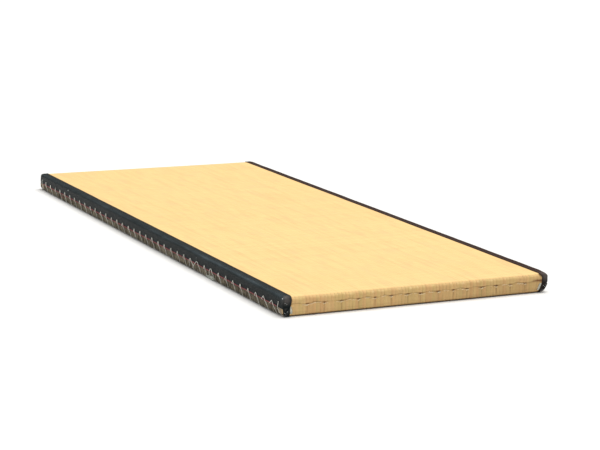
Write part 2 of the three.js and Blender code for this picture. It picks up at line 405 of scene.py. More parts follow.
def face_patch(axis, at, us, vs):
    """Quads of block points on one face. us and vs run along the next two axes in turn."""
    u, v = np.meshgrid(us, vs, indexing="ij")
    points = np.empty(u.shape + (3,))
    points[..., axis] = at
    points[..., (axis + 1) % 3] = u
    points[..., (axis + 2) % 3] = v
    quads = np.stack([points[:-1, :-1], points[1:, :-1], points[1:, 1:], points[:-1, 1:]], axis=2)
    quads = quads.reshape(-1, 4, 3)
    return quads if at > 0 else quads[:, ::-1]


def merged(patches):
    """Shared points and quad indices of several patches."""
    corners = np.concatenate(patches).reshape(-1, 3)
    points, index = np.unique(np.round(corners, 4), axis=0, return_inverse=True)
    return points, index.reshape(-1, 4)


def joined(parts):
    """Points and faces of several meshes as those of one."""
    points, faces = [], []
    base = 0
    for part_points, part_faces in parts:
        points.append(part_points)
        faces.extend([[index + base for index in face] for face in part_faces])
        base += len(part_points)
    return np.concatenate(points), faces


def grid_quads(index):
    """Quads between the rows and columns of a grid of point numbers."""
    corners = [index[:-1, :-1], index[:-1, 1:], index[1:, 1:], index[1:, :-1]]
    return np.stack(corners, axis=-1).reshape(-1, 4)


def closed(quads, count):
    """Faces of a sheet with a back and a rim; the back's points come count after the front's."""
    edges = np.concatenate([quads[:, [k, (k + 1) % 4]] for k in range(4)])
    keys = {tuple(edge) for edge in edges.tolist()}
    rim = [edge for edge in keys if edge[::-1] not in keys]
    faces = quads.tolist() + (quads[:, ::-1] + count).tolist()
    return faces + [[b, a, a + count, b + count] for a, b in sorted(rim)]


def doubled(value):
    """A value for each point of a closed sheet: the front's, and the same for the back."""
    return np.concatenate([value, value])


# Tubes


def run_along(line):
    """How far along a line each of its points lies."""
    return np.concatenate([[0], np.cumsum(np.linalg.norm(np.diff(line, axis=0), axis=1))])


def rounded_path(points, step):
    """A smooth line through the points, in even steps."""
    points = np.asarray(points, float)
    padded = np.concatenate([2 * points[:1] - points[1:2], points, 2 * points[-1:] - points[-2:-1]])
    line = []
    for a, b, c, d in zip(padded, padded[1:], padded[2:], padded[3:]):
        count = max(1, round(np.linalg.norm(c - b) / step))
        t = (np.arange(count) / count)[:, None]
        curve = 2 * b + (c - a) * t + (2 * a - 5 * b + 4 * c - d) * t**2 + (3 * b - a - 3 * c + d) * t**3
        line.append(0.5 * curve)
    return np.concatenate([*line, points[-1:]])


def frames_along(line):
    """Two directions square to a line at each of its points, turning as little as they can."""
    ahead = np.gradient(line, axis=0)
    ahead /= np.linalg.norm(ahead, axis=1)[:, None] + 1e-12
    normal = np.cross(ahead[0], [0.3, 0.5, 0.8])
    normals = []
    for direction in ahead:
        normal = normal - direction * (normal @ direction)
        normal /= np.linalg.norm(normal)
        normals.append(normal)
    normals = np.array(normals)
    return normals, np.cross(ahead, normals)


def tube_faces(rings, sides):
    """Quads between the rings of a tube, and its two caps."""
    faces = []
    for ring in range(rings - 1):
        for side in range(sides):
            here = ring * sides + side
            after = ring * sides + (side + 1) % sides
            faces.append([here, after, after + sides, here + sides])
    last = (rings - 1) * sides
    faces.append(list(range(sides))[::-1])
    faces.append(list(range(last, last + sides)))
    return faces


def tube(line, radius, sides, twist=0.0, ply=0.0):
    """Points and faces of a tube. ply gives a two-strand twist, one turn in twist millimetres."""
    normals, binormals = frames_along(line)
    angle = np.arange(sides) * 2 * math.pi / sides
    turned = run_along(line)[:, None] * (2 * math.pi / twist if twist else 0.0)
    size = np.broadcast_to(radius, len(line))[:, None] * (1 + ply * np.cos(2 * (angle - turned)))
    rings = line[:, None] + normals[:, None] * (np.cos(angle) * size)[..., None]
    rings = rings + binormals[:, None] * (np.sin(angle) * size)[..., None]
    return rings.reshape(-1, 3), tube_faces(len(line), sides)


def strands(name, tubes, tones, material, slot_name):
    """One piece from many tubes, each with its own tone or a tone for each of its points."""
    points, faces = joined(tubes)
    tone = np.concatenate([np.broadcast_to(shade, len(part[0])) for part, shade in zip(tubes, tones)])
    return dressed(make_object(name, points, faces, tone=tone), material, slot_name)


# Shader nodes


class Shading:
    """Builds one material's nodes."""

    def __init__(self, name, roughness, specular, sheen=0.0):
        self.material = bpy.data.materials.new(name)
        self.material.use_nodes = True
        self.tree = self.material.node_tree
        self.shader = self.tree.nodes["Principled BSDF"]
        self.shader.inputs["Roughness"].default_value = roughness
        self.shader.inputs["Specular IOR Level"].default_value = specular
        self.shader.inputs["Sheen Weight"].default_value = sheen

    def feed(self, socket, value):
        """Links a socket or sets a plain value; None leaves the socket as it is."""
        if isinstance(value, bpy.types.NodeSocket):
            self.tree.links.new(value, socket)
        elif value is not None:
            socket.default_value = value

    def node(self, kind, *values, **settings):
        made = self.tree.nodes.new("ShaderNode" + kind)
        for key, value in settings.items():
            setattr(made, key, value)
        for socket, value in zip(made.inputs, values):
            self.feed(socket, value)
        return made

    def math(self, operation, a, b=None, c=None):
        return self.node("Math", a, b, c, operation=operation).outputs[0]

    def plus(self, a, b):
        return self.math("ADD", a, b)

    def minus(self, a, b):
        return self.math("SUBTRACT", a, b)

    def times(self, a, b):
        return self.math("MULTIPLY", a, b)

    def wave(self, value, turn):
        """A sine wave; value is multiplied by turn to give its angle."""
        return self.math("SINE", self.times(value, turn))

    def attribute(self, name):
        return self.node("Attribute", attribute_name=name).outputs["Fac"]

    def coordinates(self, kind="Object"):
        return self.node("TexCoord").outputs[kind]

    def split(self, vector):
        return self.node("SeparateXYZ", vector).outputs

    def scaled(self, vector, scale):
        return self.node("VectorMath", vector, scale, operation="MULTIPLY").outputs[0]

    def noise(self, vector, scale, detail=2.0, roughness=0.5):
        """Noise from 0 to 1. A scale of three numbers stretches it along the axes."""
        if isinstance(scale, tuple):
            vector = self.scaled(vector, scale)
            scale = 1.0
        made = self.node("TexNoise")
        values = {"Vector": vector, "Scale": scale, "Detail": detail, "Roughness": roughness}
        for key, value in values.items():
            self.feed(made.inputs[key], value)
        return made.outputs["Fac"]

    def random(self, number):
        """A random share for each whole number."""
        return self.node("TexWhiteNoise", None, number, noise_dimensions="1D").outputs["Value"]

    def ranged(self, value, low, high, out_low=0.0, out_high=1.0):
        """Moves a value between low and high to between out_low and out_high, and keeps it there."""
        return self.node("MapRange", value, low, high, out_low, out_high, clamp=True).outputs[0]

    def blend(self, share, a, b):
        made = self.node("Mix", data_type="RGBA")
        for socket, value in zip((made.inputs[0], made.inputs[6], made.inputs[7]), (share, a, b)):
            self.feed(socket, (*value, 1.0) if isinstance(value, tuple) else value)
        return made.outputs[2]

    def tinted(self, colour, tints, **shares):
        """Blends the named tints over a colour one after the other, each by its share."""
        for name, share in shares.items():
            colour = self.blend(share, colour, tints[name])
        return colour

    def finish(self, colour, height=None, depth=0.3, strength=1.0):
        """Sets the colour and a bump whose height from 0 to 1 stands for depth in millimetres."""
        self.feed(self.shader.inputs["Base Color"], colour)
        if height is not None:
            bump = self.node("Bump")
            bump.inputs["Strength"].default_value = strength
            bump.inputs["Distance"].default_value = depth * MM
            self.feed(bump.inputs["Height"], height)
            self.feed(self.shader.inputs["Normal"], bump.outputs["Normal"])
        return self.material


# Materials; their coordinates are in metres


def rush_strands(shade, uv):
    """The number of each strand across the mat, and its round height from 0 at its edges to 1."""
    along = shade.split(uv)[1]
    drift = shade.times(shade.noise(uv, 9.0), 0.0012)
    strand = shade.math("DIVIDE", shade.plus(along, drift), STRAND_PITCH * MM)
    return shade.math("FLOOR", strand), shade.wave(shade.math("FRACT", strand), math.pi)


def rush_shares(shade, uv, rib_place, streak):
    """How much each tint shows: patches all over, odd ribs mostly on the ends, and spots of painted
    highlight along the top fold of each short end.
    """
    z = shade.split(shade.coordinates())[2]
    on_end = shade.ranged(z, 0.054, 0.047, 0.25, 1.0)
    rib_tone = shade.random(shade.math("FLOOR", shade.plus(rib_place, shade.times(streak, 0.4))))
    # A painted highlight: bright spots in a band along the top fold of each short end
    fold = shade.times(shade.ranged(z, 0.0425, 0.0455), shade.ranged(z, 0.0505, 0.048))
    spots = shade.ranged(shade.noise(uv, (105.0, 40.0, 1.0)), 0.53, 0.66, 0.0, 0.6)
    return {
        "pale": shade.ranged(shade.noise(uv, 7.0, detail=3.0), 0.45, 0.8, 0.0, 0.35),
        "tan": shade.ranged(shade.noise(uv, (23.0, 11.0, 1.0)), 0.5, 0.72, 0.0, 0.4),
        "warm": shade.times(shade.ranged(rib_tone, 0.4, 1.0, 0.0, 0.55), on_end),
        "olive": shade.times(shade.ranged(rib_tone, 0.35, 0.0, 0.0, 0.32), on_end),
        "bright": shade.times(fold, spots),
        "green": shade.ranged(shade.noise(uv, 55.0), 0.62, 0.8, 0.0, 0.25),
    }


def rush_gaps(shade, uv, valley, roundness, dip):
    """Painted shade in the valleys between ribs, between strands and where a strand dips, with slow darker
    bands over it.
    """
    uneven = shade.ranged(shade.noise(uv, (95.0, 12.0, 1.0)), 0.42, 0.68, 0.0, 0.32)
    gap = shade.minus(1.0, shade.math("POWER", roundness, 0.5))
    dark = shade.math("MULTIPLY_ADD", valley, uneven, shade.times(gap, 0.07))
    dark = shade.math("MULTIPLY_ADD", dip, 0.05, dark)
    band = shade.noise(uv, (60.0, 5.0, 1.0), detail=1.0)
    return shade.plus(dark, shade.ranged(band, 0.45, 0.7, 0.0, 0.10))


def rush_material():
    """Golden woven rush: strands across the mat, painted shade in the valleys between the ribs, in the
    creases and seams, over the short ends and along their bottom edge, and a painted highlight on the ends'
    top fold.
    """
    shade = Shading("rush", roughness=0.6, specular=0.3, sheen=0.08)
    uv = shade.coordinates("UV")
    number, roundness = rush_strands(shade, uv)
    rib_place = shade.math("DIVIDE", shade.split(uv)[0], RIB_PITCH * MM)
    across_rib = shade.math("MULTIPLY_ADD", shade.math("FRACT", rib_place), 2.0, -1.0)
    off_middle = shade.math("ABSOLUTE", across_rib)
    valley = shade.math("POWER", off_middle, 7.0)
    every_other = shade.math("MODULO", number, 2.0)
    dip = shade.times(shade.math("POWER", shade.minus(1.0, off_middle), 6.0), every_other)
    streak = shade.noise(uv, (30.0, 530.0, 1.0), detail=3.0)
    tone = shade.plus(shade.times(shade.random(number), 0.35), shade.times(streak, 0.65))
    colour = shade.tinted(
        shade.blend(tone, *RUSH),
        RUSH_TINTS,
        **rush_shares(shade, uv, rib_place, streak),
        # Painted shade: between ribs and strands, in creases and seams, over the short ends and along their
        # bottom edge
        gaps=rush_gaps(shade, uv, valley, roundness, dip),
        crease=shade.attribute("crease"),
        dust=shade.attribute("dust"),
        soil=shade.attribute("soil"),
    )
    height = shade.minus(roundness, shade.times(valley, 1.2))
    height = shade.minus(height, shade.times(dip, 0.6))
    height = shade.plus(height, shade.times(streak, 0.5))
    return shade.finish(colour, height, depth=0.3, strength=0.6)


def twill(shade, x, y, z):
    """Height of the borders' weave: slanted ribs, and the threads between them."""
    across = shade.math("DIVIDE", shade.plus(x, z), TWILL_PITCH * MM)
    along = shade.math("DIVIDE", y, TWILL_PITCH * MM)
    ribs = shade.wave(shade.plus(across, along), 2 * math.pi)
    return shade.math("MULTIPLY_ADD", shade.wave(along, 2 * math.pi), 0.35, ribs)


def border_material():
    """Black cotton tape: fine twill with painted shade in its gaps, brown on the right border, a painted
    highlight along the left border's shoulder, and lighter corners, partly faded and partly painted
    highlight.
    """
    shade = Shading("border_cloth", roughness=0.45, specular=0.09)
    shade.shader.inputs["Specular Tint"].default_value = (0.8, 0.9, 1.0, 1.0)
    place = shade.coordinates()
    x, y, z = shade.split(place)
    weave = twill(shade, x, y, z)
    cloud = shade.noise(place, 18.0, detail=4.0)
    colour = shade.tinted(
        shade.blend(cloud, *BORDER),
        BORDER_TINTS,
        brown=shade.times(shade.ranged(x, 0.0, 0.3, 0.0, 0.8), shade.ranged(z, 0.038, 0.053, 0.4, 1.0)),
        # painted highlight along the left border's shoulder; lighter corners, partly faded and partly
        # painted highlight
        rubbed=shade.times(shade.attribute("rubbed"), shade.ranged(cloud, 0.3, 0.7, 0.5, 1.0)),
        faded=shade.times(shade.attribute("faded"), shade.ranged(cloud, 0.3, 0.7, 0.6, 1.0)),
        fluff=shade.ranged(shade.noise(place, 420.0, detail=1.0), 0.76, 0.82, 0.0, 0.4),
        # painted shade in the twill's gaps
        gaps=shade.ranged(weave, -1.35, 0.0, 0.35, 0.0),
    )
    height = shade.plus(shade.times(weave, 0.35), shade.noise(place, 260.0, detail=3.0))
    return shade.finish(colour, height, depth=0.3, strength=0.7)


def straw_material():
    """Pressed straw: streaks that run across the mat underneath and upright on its sides."""
    shade = Shading("straw", roughness=0.85, specular=0.2)
    place = shade.coordinates()
    stretched = shade.scaled(place, (45.0, 620.0, 45.0))
    streak = shade.noise(stretched, 1.0, detail=4.0, roughness=0.65)
    fine = shade.noise(stretched, 2.7)
    tone = shade.ranged(shade.math("MULTIPLY_ADD", fine, 0.5, streak), 0.45, 1.05)
    stain = shade.ranged(shade.noise(place, 21.0, detail=3.0), 0.5, 0.75, 0.0, 0.5)
    colour = shade.blend(stain, shade.blend(tone, *STRAW), STRAW_STAIN)
    return shade.finish(colour, tone, depth=0.8, strength=0.9)


def fibre_material(name, dark, light):
    """Strands that each have their own tone, from dark to light."""
    shade = Shading(name, roughness=0.75, specular=0.25)
    speckle = shade.noise(shade.coordinates(), 900.0)
    tone = shade.math("MULTIPLY_ADD", shade.minus(speckle, 0.5), 0.6, shade.attribute("tone"))
    colour = shade.blend(shade.ranged(tone, 0.0, 1.0), dark, light)
    return shade.finish(colour, speckle, depth=0.25, strength=0.7)


def paper_material():
    """Rough off-white paper."""
    shade = Shading("backing_paper", roughness=0.9, specular=0.2)
    cloud = shade.noise(shade.coordinates(), 160.0, detail=4.0)
    colour = shade.blend(shade.ranged(cloud, 0.35, 0.7), *PAPER)
    return shade.finish(colour, cloud, depth=0.4, strength=0.8)


def floor_material():
    """A plain, pale floor."""
    shade = Shading("floor", roughness=0.9, specular=0.1)
    return shade.finish(shade.blend(shade.noise(shade.coordinates(), 3.0), *FLOOR))


# Rush facing


def half_path():
    """Rows of the facing from its turned-under edge to the mat's middle: place along the mat, height."""
    outwards = bent(FLAT_Y, ARC_ROWS)
    rows = [(y, 0) for y in np.linspace(RUSH_UNDER_Y, FLAT_Y, 4)]
    rows += [(y, 0) for y in outwards[1:]]
    rows += [(HALF_LENGTH, z) for z in foot_heights(ARC_ROWS)[1:]]
    rows += [(HALF_LENGTH, z) for z in np.linspace(END_FOOT_RADIUS, FLAT_Z, 27)[1:]]
    rows += [(HALF_LENGTH, z) for z in bent(FLAT_Z, ARC_ROWS)[1:]]
    rows += [(y, HEIGHT) for y in outwards[-2::-1]]
    rows += [(y, HEIGHT) for y in np.linspace(FLAT_Y, 0, 17)[1:]]
    return np.array(rows)


def rib_columns():
    """Columns of the facing across the mat: evenly spaced, and then as the ribs drift."""
    ribs = RIB_PITCH * np.linspace(-RIB_COUNT / 2, RIB_COUNT / 2, RIB_COUNT * RIB_STEPS + 1)
    beyond = np.linspace(ribs[-1], FLAT_X, RIB_STEPS + 1)[1:]
    even = np.concatenate([-beyond[::-1], ribs, beyond])
    inside = ramp(np.abs(even), ribs[-1], ribs[-1] - 2 * RIB_PITCH)
    return even, even + RIB_DRIFT * noise_line(even, 27, 9) * inside


def seam_shape(x):
    """How near each place is to a stitch of the end seam, and the height of the seam's crease there."""
    places = np.array([-HALF_WIDTH, *STITCH_X, HALF_WIDTH], float)
    gap = np.clip(np.searchsorted(places, x) - 1, 0, len(places) - 2)
    share = (x - places[gap]) / (places[gap + 1] - places[gap])
    rise = SEAM_RISE * np.sin(math.pi * share) ** 2
    return off_nearest(x, STITCH_X), SEAM_Z + rise + 0.8 * noise_line(x, 30, 3)


def end_relief(x, z):
    """Relief of the facing on a short end: seam, stitches, creases below them and pillows; and painted shade
    in the seam's groove, the stitch holes, the creases and a low line, with a darker patch by the seam at
    +x.
    """
    off, seam_z = seam_shape(x)
    near = hump(off, 8)
    above = z - seam_z
    groove = hump(above, 1.5) * mix(SEAM_DEPTH, SEAM_STITCH_DEPTH, near)
    groove = groove * mix(0.15, 1.0, ramp(noise_line(x, 17, 4), -0.5, 0.5))
    hole = SEAM_HOLE_DEPTH * hump(off, 4.0) * hump(above, 1.6)
    pillow = PILLOW_RISE * hump(above - 7.5, 5.5) * (1 - 0.6 * near)
    lower_pillow = LOWER_PILLOW_RISE * hump(above + 5, 4.0) * (1 - near)
    below = ramp(above, 0.0, -3.0) * ramp(z, 2.0, 8.0)
    crease = hump(off, 1.7) * below * mix(0.75, 0.4, ramp(-above, 5, 25))
    line = 0.22 * hump(z - 10 - 1.5 * noise_line(x, 60, 5), 1.3) * ramp(noise_line(x, 45, 6), -0.3, 0.5)
    relief = pillow + lower_pillow - groove - hole - crease - line
    # Darker along the seam towards its end at +x
    stain = 0.8 * hump(above - 0.5, 3.4) * ramp(x, 350, 380)
    stain = stain + 0.3 * hump(above - 1, 2.8) * ramp(x, 345, 368)
    return relief, stain + 0.55 * groove + 0.95 * hole + 0.5 * crease + 0.6 * line


def rib_relief(x, y, z, rib_place, on_end):
    """Relief of the ribs and the painted shade in the valleys between them; a valley lies at each whole rib
    place.
    """
    height = np.where(z > SEAM_Z, RIB_HEIGHT["above_seam"], RIB_HEIGHT["below_seam"])
    height = mix(RIB_HEIGHT["top"], height, on_end) * (0.8 + 0.55 * noise_sheet(x, y + z, 18, 50, 7))
    off_rib = np.abs(2 * np.mod(rib_place, 1.0) - 1)
    patchy = ramp(noise_sheet(x, z, 13, 12, 10), -0.2, 0.8)
    return height * (0.6 - off_rib**3), np.where(z > SEAM_Z, 0.22, 0.16) * off_rib**5 * patchy


def rush_surface(x, y, z, rib_place):
    """Lift of the facing's surface, pressed in under the borders and in the bays; and its painted shade, in
    the ends' seams, creases and rib valleys, over the ends, beside the borders and along the ends' bottom
    edge.
    """
    on_end = ramp(np.abs(y), FLAT_Y + EDGE_RADIUS * 0.4, HALF_LENGTH)
    relief, darkness = end_relief(x, z)
    ribs, rib_dark = rib_relief(x, y, z, rib_place, on_end)
    softened = EDGE_SOFTENED * hump(HALF_LENGTH - np.abs(y) + HEIGHT - z, 12)
    slow = 0.35 * noise_sheet(x, y, 120, 150, 8) * (z >= HEIGHT)
    from_border = inner_edge(x, y, z) - np.abs(x)
    bay = on_end * ramp(z, BAY_FOOT_Z, BAY_FOOT_Z + 2) * ramp(z, BAY_TOP_Z, BAY_TOP_Z - 3)
    bay = bay * ramp(from_border, BAY_WIDTH, BAY_WIDTH - 1)
    free = ramp(from_border, 0, 1.4) * (1 - bay)
    lift = mix(RUSH_PRESSED_LIFT, RUSH_LIFT + relief * on_end + ribs + slow - softened, free)
    # Painted shade in the short ends' seam, stitch holes and creases, and beside each border's inner edge
    crease = on_end * darkness + 0.6 * ramp(from_border, 2.2, 0)
    # Painted shade over the short ends: all over them, in their rib valleys, and more below the seam and
    # towards +x
    worn = on_end * (0.12 + rib_dark + np.where(z < SEAM_Z, 0.20, 0.07) * ramp(x, -100, 350))
    # Painted shade along the bottom edge of the short ends, where they meet the floor
    soil = 0.75 * ramp(z, 5.2, 2.8) * ramp(np.abs(y), FLAT_Y, FLAT_Y + 4)
    return lift, np.clip(crease + worn, 0, 1), soil


def rush_faces(front_at, back_at):
    """Faces of the facing's fine outer grid, of the coarser one behind it and of the rim between them."""
    faces = grid_quads(front_at).tolist() + grid_quads(back_at)[:, ::-1].tolist()
    for column, way in ((0, 1), (-1, -1)):
        for row in range(len(front_at) - 1):
            front = front_at[row : row + 2, column].tolist()
            back = back_at[row : row + 2, column].tolist()
            faces.append([*front, *back[::-1]][::way])
    for row, way in ((0, -1), (-1, 1)):
        for k in range(back_at.shape[1] - 1):
            front = front_at[row, k * RIB_STEPS : (k + 1) * RIB_STEPS + 1].tolist()
            back = back_at[row, k : k + 2].tolist()
            faces.append([*front, *back[::-1]][::way])
    return faces


def on_both_grids(value):
    """Values of the facing's outer grid, and then those of the coarser one behind it."""
    return np.concatenate([value.ravel(), value[:, ::RIB_STEPS].ravel()])


def rush_sheet():
    """The woven sheet, from its edge under the near end over the top to its edge under the far end."""
    half = half_path()
    path = np.concatenate([half * [-1, 1], half[-2::-1]])
    even, drifted = rib_columns()
    y, x = np.meshgrid(path[:, 0], drifted, indexing="ij")
    z = np.broadcast_to(path[:, 1:], x.shape)
    column = np.broadcast_to(even, x.shape)
    lift, crease, soil = rush_surface(x, y, z, column / RIB_PITCH)
    back_lift = np.minimum(lift, RUSH_LIFT - 0.5) - RUSH_THICKNESS
    outer = placed(x, y, z, lift).reshape(-1, 3)
    back = placed(x, y, z, back_lift)[:, ::RIB_STEPS]
    along = run_along(placed(0, path[:, 0], path[:, 1], RUSH_LIFT))
    along = np.broadcast_to((along - along[len(half) - 1])[:, None], x.shape)
    front_at = np.arange(x.size).reshape(x.shape)
    back_at = x.size + np.arange(back[..., 0].size).reshape(back.shape[:2])
    return {
        "points": np.concatenate([outer, back.reshape(-1, 3)]),
        "faces": rush_faces(front_at, back_at),
        "uv": np.stack([on_both_grids(column), on_both_grids(along)], axis=1),
        "crease": on_both_grids(crease),
        "soil": on_both_grids(soil),
        "dust": on_both_grids(np.zeros(x.shape)),
    }


def rush_tab(side, end):
    """The corner of the facing that is turned round onto a long side and under the mat."""
    ys = [*np.linspace(TAB_Y, FLAT_Y, 10), *bent(FLAT_Y, 3)[1:]]
    zs = [*foot_heights(3), *np.linspace(END_FOOT_RADIUS, TAB_TOP_Z, 8)[1:]]
    xs = [*np.linspace(TAB_UNDER_X, FLAT_X, 3), *bent(FLAT_X, 3)[1:]]
    points, quads = merged([face_patch(0, HALF_WIDTH, ys, zs), face_patch(2, 0, xs, ys)])
    x, y, z = (points * [side, end, 1]).T
    if side * end < 0:
        quads = quads[:, ::-1]
    lift = RUSH_PRESSED_LIFT + 0.35 * noise_sheet(y, z, 5, 9, 11 + side + 2 * end) - 0.15
    outer = placed(x, y, z, lift)
    inner = placed(x, y, z, lift - RUSH_THICKNESS)
    return {
        "points": np.concatenate([outer, inner]),
        "faces": closed(quads, len(points)),
        "uv": doubled(np.stack([y * 3.1, z * 0.4 + x * 0.4], axis=1)),
        # Uneven darkening over the tab, partly crease marks and partly painted shade
        "crease": doubled(np.clip(0.25 + 0.45 * noise_sheet(y, z, 3, 14, 21), 0, 1)),
        # Painted shade along the tab's bottom edge
        "soil": doubled(0.6 * ramp(z, 3.0, 0.0)),
        "dust": doubled(0.75 * mix(0.35, 1.0, ramp(np.abs(y), FLAT_Y, 980))),
    }


def rush_weave(material):
    """The facing in one piece: the sheet and its tab at each corner."""
    parts = [rush_sheet()]
    parts += [rush_tab(side, end) for side in SIDES.values() for end in ENDS.values()]
    points, faces = joined([(part["points"], part["faces"]) for part in parts])
    values = {key: np.concatenate([part[key] for part in parts]) for key in ("uv", "crease", "soil", "dust")}
    weave = make_object("rush_weave", points, faces, **values)
    dressed(weave, material, "rush", "rush_facing")


# Borders


def whip_places():
    """Places along the mat of the whip stitches' tops, from the far end to the near one."""
    return WHIP_FIRST_Y - WHIP_PITCH * np.arange(WHIP_COUNT)


def sewn_relief(y, z):
    """Relief of a border's straight side: puckered at the whip stitches, swollen between them."""
    off = off_nearest(y, whip_places())
    pucker = 0.55 * hump(off, 4.5) * hump(z - WHIP_TOP_Z, 5.0)
    strain = 0.30 * hump(off, 2.6) * ramp(z, 29, 33) * ramp(z, 46, 36)
    swell = 0.35 * (1 - hump(off, 12)) * ramp(z, 34, 27)
    hem = 0.45 * hump(z - BORDER_LOWER_Z - 1, 2.2)
    return ramp(np.abs(y), 975, 955) * (swell + hem - pucker - strain)


def end_share(y):
    """How far a border has turned down onto a short end."""
    return ramp(np.abs(y), FLAT_Y + 3, HALF_LENGTH)


def corner_folds(x, y, z):
    """Where a border is bunched, low on a short end, and how high its folds rise there."""
    low = end_share(y) * ramp(z, FOLD_TOP_Z, FOLD_TOP_Z - 4)
    folds = 1.5 * noise_sheet(x, z + 0.6 * np.abs(x), 5.5, 7.0, 33) + 0.9 * noise_sheet(x, z, 2.8, 3.4, 34)
    return low, folds


def corner_ridge(side, x, y, z):
    """The upright ridge of folded cloth at the near right corner, and at the far left one like it."""
    ridge = 0.7 * end_share(y) * hump(np.abs(x) - 394 - 0.06 * z, 2.4) * ramp(z, 12, 22)
    return ridge * (side * -np.sign(y) > 0)


def border_relief(side, x, y, z):
    """Relief of a border's outer surface."""
    run = side * -y
    slow = 0.22 * noise_line(run, 90, 31) + 0.22 * noise_sheet(run, np.abs(x) - z, 38, 16, 32)
    on_top = z >= HEIGHT
    roll = on_top * (0.45 * hump(np.abs(x) - BORDER_INNER_X - 1.2, 1.6) - 0.15 * hump(np.abs(x) - 382, 1.5))
    plump = 2.8 * on_top * (side > 0) * hump(np.abs(x) - 392, 8) * ramp(np.abs(y), 998, 965)
    low, folds = corner_folds(x, y, z)
    bulk = low * (1.4 + folds) * ramp(z, 0.0, 5.0)
    step = -0.9 * end_share(y) * hump(z - FOLD_TOP_Z, 1.8)
    relief = slow + sewn_relief(y, z) + roll + bulk + step + corner_ridge(side, x, y, z) + plump
    return np.maximum(relief, -0.25)


def border_wear(side, x, y, z):
    """A border's painted highlight over the left border's shoulder and the corner ridges; and where it is
    lighter: the corner knobs, partly faded cloth and partly painted highlight, and the folds' ridges, with
    painted highlight.
    """
    run = side * -y
    streaked = mix(0.45, 1.0, ramp(noise_line(run, 130, 36), -0.7, 0.5)) * mix(0.5, 1.0, ramp(-y, 0, 600))
    streaked = streaked * (0.85 + 0.25 * noise_sheet(run, np.abs(x) - z, 40, 6, 37))
    from_shoulder = HALF_WIDTH - np.abs(x) + HEIGHT - z
    # A painted highlight along the left border's shoulder, stronger towards the near end, and on the corner
    # ridges
    rubbed = 0.72 * hump(from_shoulder, 6.5 + 2.0 * ramp(-y, 850, 970)) * streaked * (side < 0)
    rubbed = rubbed + 0.2 * corner_ridge(side, x, y, z)
    # Lighter corner knobs, partly faded cloth and partly painted highlight, and painted highlight on the
    # folds' ridges
    knob = 0.62 * ramp(np.abs(y), 984, 999) * ramp(z, 28, 42) * hump(np.abs(x) - 392, 12)
    low, folds = corner_folds(x, y, z)
    faded = knob + 0.5 * low * ramp(folds, 0.4, 1.6)
    return np.clip(rubbed, 0, 1), np.clip(faded, 0, 1)


def border_quads():
    """Points and quads of the right border on the block: top, side, ends, and what is turned round there."""
    corner_y = bent(FLAT_Y, 5)
    turned = np.array([BORDER_UNDER_Y, (BORDER_UNDER_Y + FLAT_Y) / 2, *corner_y])
    straight = np.linspace(0, BORDER_UNDER_Y, round(BORDER_UNDER_Y / BORDER_STEP) + 1)
    ys = both_ways([*straight, *turned[1:]])
    xs = [*np.linspace(BORDER_INNER_X, FLAT_X, 10), *bent(FLAT_X, 5)[1:]]
    low_zs = [*foot_heights(5), *np.linspace(END_FOOT_RADIUS, BORDER_LOWER_Z, 9)[1:]]
    side_zs = [*np.linspace(BORDER_LOWER_Z, FLAT_Z, 15), *bent(FLAT_Z, 5)[1:]]
    patches = [face_patch(2, HEIGHT, xs, ys), face_patch(0, HALF_WIDTH, ys, side_zs)]
    for end in ENDS.values():
        patches.append(face_patch(1, end * HALF_LENGTH, [*low_zs, *side_zs[1:]], xs))
        patches.append(face_patch(0, HALF_WIDTH, np.sort(end * corner_y[4:]), low_zs))
        patches.append(face_patch(2, 0, xs, np.sort(end * turned)))
    return merged(patches)


def border_cloth(name, side, material):
    """A border: one strip over the shoulder and down over both ends, with a slightly wavy hem."""
    points, quads = border_quads()
    x, y, z = points.T
    if side < 0:
        x = -x
        quads = quads[:, ::-1]
    share = ramp(np.abs(x), BORDER_INNER_X, FLAT_X)
    edge = np.sign(x) * mix(inner_edge(x, y, z), FLAT_X, share)
    shifted = np.where(np.abs(x) < FLAT_X, edge, x)
    hem = (z >= BORDER_LOWER_Z) * (np.abs(x) >= HALF_WIDTH) * ramp(z, 30, BORDER_LOWER_Z)
    wavy = z + hem * ramp(np.abs(y), 990, 975) * 0.7 * noise_line(y, 45, 35 + side)
    relief = border_relief(side, x, y, z)
    # Painted highlight, and lighter corners that are partly faded and partly painted highlight
    rubbed, faded = border_wear(side, x, y, z)
    outer = placed(shifted, y, wavy, relief)
    inner = placed(shifted, y, wavy, relief - BORDER_THICKNESS)
    both = np.concatenate([outer, inner])
    faces = closed(quads, len(points))
    cloth = make_object(name, both, faces, rubbed=doubled(rubbed), faded=doubled(faded))
    dressed(cloth, material, "border_cloth", name.replace("_cloth", ""))


# Straw core and its straws


def core_lift(x, y, z):
    """How far the core's surface lies under the block's: least at the sides, where its straw shows."""
    towards_end = ramp(np.abs(y), TAB_Y - 8, TAB_Y - 2)
    under = z < SIDE_FOOT_RADIUS / 2
    on_side = (np.abs(x) >= HALF_WIDTH) & (z > 0)
    rough = 0.5 * noise_sheet(y, z, 11, 6, 41)
    lift = np.where(on_side, mix(CORE_SIDE_LIFT + rough, CORE_TOP_LIFT, towards_end), CORE_TOP_LIFT)
    tucked = mix(CORE_UNDER_LIFT, CORE_TOP_LIFT - 1.0, ramp(np.abs(y), RUSH_UNDER_Y - 12, RUSH_UNDER_Y - 2))
    return np.where(under, tucked, lift)


